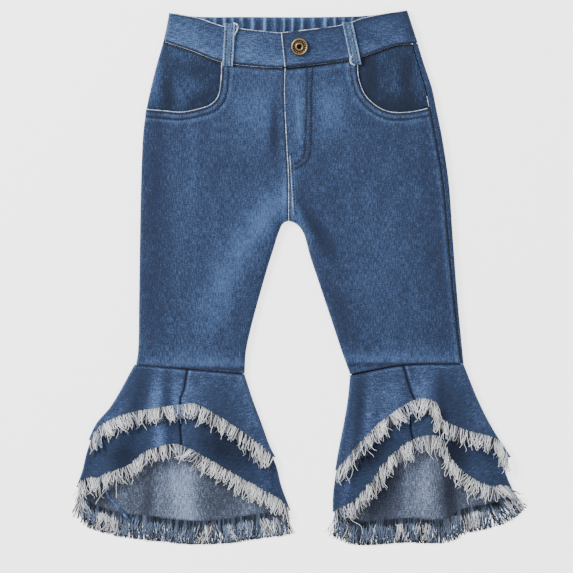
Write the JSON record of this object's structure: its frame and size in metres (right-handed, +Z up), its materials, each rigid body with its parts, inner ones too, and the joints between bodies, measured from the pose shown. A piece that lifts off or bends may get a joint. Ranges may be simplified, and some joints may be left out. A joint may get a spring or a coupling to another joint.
{
  "type": "flared jeans",
  "caption": "Child's denim flared jeans laid flat, with tiered frayed flounces, elastic back waist, curved pockets, fly and tack button.",
  "frame": {"origin": "centre of the bounding box's lowest face, on the surface the garment lies on", "axes": "+X to the right in the picture, +Y from the hems to the waist, +Z up off the surface, out of the garment's front"},
  "size_m": [0.4591, 0.5374, 0.0164],
  "materials": {
    "denim": "washed twill",
    "facing": "darker twill",
    "band": "washed twill",
    "loop": "worn twill",
    "flounce": "washed twill",
    "fringe": "frayed cotton",
    "brass": "antique"
  },
  "bodies": {
    "root": {"front_panel_left": "denim", "back_panel_left": "denim", "pocket_facing_left": "facing", "waistband_front_left": "band", "belt_loop_left": "loop", "front_panel_right": "denim", "back_panel_right": "denim", "pocket_facing_right": "facing", "waistband_front_right": "band", "belt_loop_right": "loop", "waistband_back": "band", "button": "brass", "upper_flounce_left_outer": "flounce", "upper_flounce_left_inner": "flounce", "fringe_upper_front_left": "fringe", "fringe_upper_back_left": "fringe", "lower_flounce_left_outer": "flounce", "lower_flounce_left_inner": "flounce", "fringe_lower_front_left": "fringe", "fringe_lower_back_left": "fringe", "upper_flounce_right_outer": "flounce", "upper_flounce_right_inner": "flounce", "fringe_upper_front_right": "fringe", "fringe_upper_back_right": "fringe", "lower_flounce_right_outer": "flounce", "lower_flounce_right_inner": "flounce", "fringe_lower_front_right": "fringe", "fringe_lower_back_right": "fringe"}
  },
  "joints": []
}
